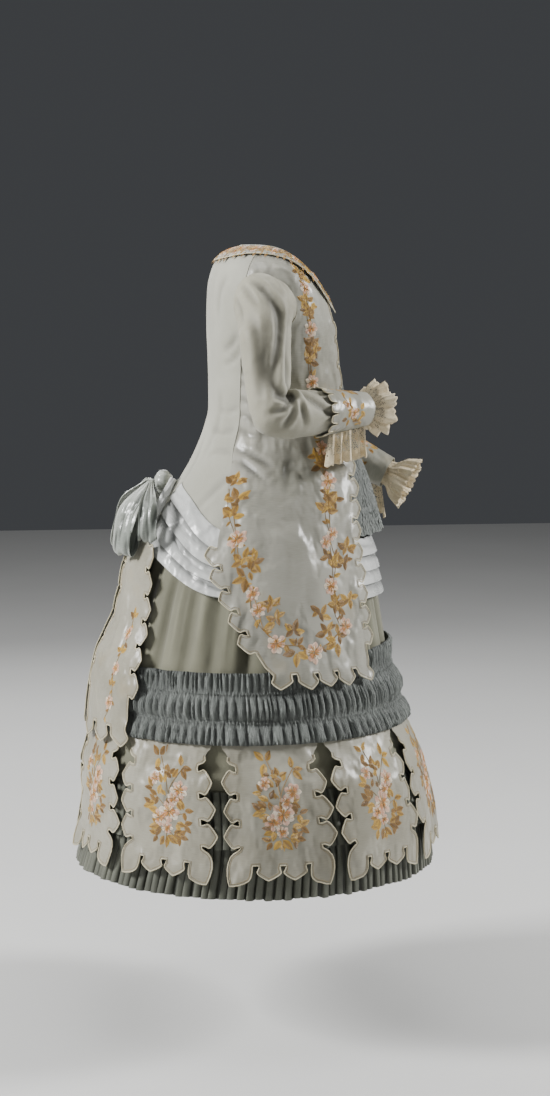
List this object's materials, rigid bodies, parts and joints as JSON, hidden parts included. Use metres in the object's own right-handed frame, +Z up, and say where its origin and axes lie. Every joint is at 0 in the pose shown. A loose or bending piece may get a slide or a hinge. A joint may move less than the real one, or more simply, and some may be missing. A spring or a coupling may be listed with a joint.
{
  "type": "bustle gown",
  "caption": "Bustle gown of about 1880, worn shape: fitted bodice, long sleeves, side panels, hip drape, bow, scalloped tabs and pleated flounces.",
  "frame": {"origin": "middle of the shoulders, where the wearer carries the gown, 1236 mm above the floor that the wearer stands on", "axes": "+Z up, -Y is the way the gown faces, -X is the wearer's right"},
  "size_m": [0.5876, 0.5946, 0.995],
  "materials": {
    "wool": "fine matte wool twill, grey-beige",
    "skirt_cloth": "matte grey-green wool",
    "satin": "silk satin, pale grey, embroidered",
    "bright_satin": "silk satin, nearly white, pleated",
    "gathered": "thin blue-grey silk, gathered",
    "pleated": "grey-green silk, knife pleated",
    "bow_satin": "grey-green silk satin",
    "lace": "cream net lace"
  },
  "bodies": {
    "root": {"bodice_back": "wool", "sleeve_right": "wool", "sleeve_left": "wool", "skirt": "skirt_cloth", "gathered_band": "gathered", "gathered_front": "gathered", "upper_flounce": "pleated", "lower_flounce": "pleated", "skirt_tab_right_1": "satin", "skirt_tab_right_2": "satin", "skirt_tab_right_3": "satin", "skirt_tab_right_4": "satin", "skirt_tab_right_5": "satin", "skirt_tab_left_1": "satin", "skirt_tab_left_2": "satin", "skirt_tab_left_3": "satin", "skirt_tab_left_4": "satin", "skirt_tab_left_5": "satin", "side_panel_right": "satin", "side_panel_left": "satin", "collar": "satin", "cuff_right": "satin", "cuff_left": "satin", "sash_right": "satin", "sash_left": "satin", "hip_drape": "bright_satin", "drape_roll_right": "bright_satin", "drape_roll_left": "bright_satin", "bow_loop_centre": "bow_satin", "bow_loop_right": "bow_satin", "bow_loop_left": "bow_satin", "bow_loop_far_right": "bow_satin", "bow_loop_far_left": "bow_satin", "bow_knot": "bow_satin", "wrist_frill_right": "lace", "wrist_frill_left": "lace", "under_frill_right": "lace", "under_frill_left": "lace"}
  },
  "joints": []
}
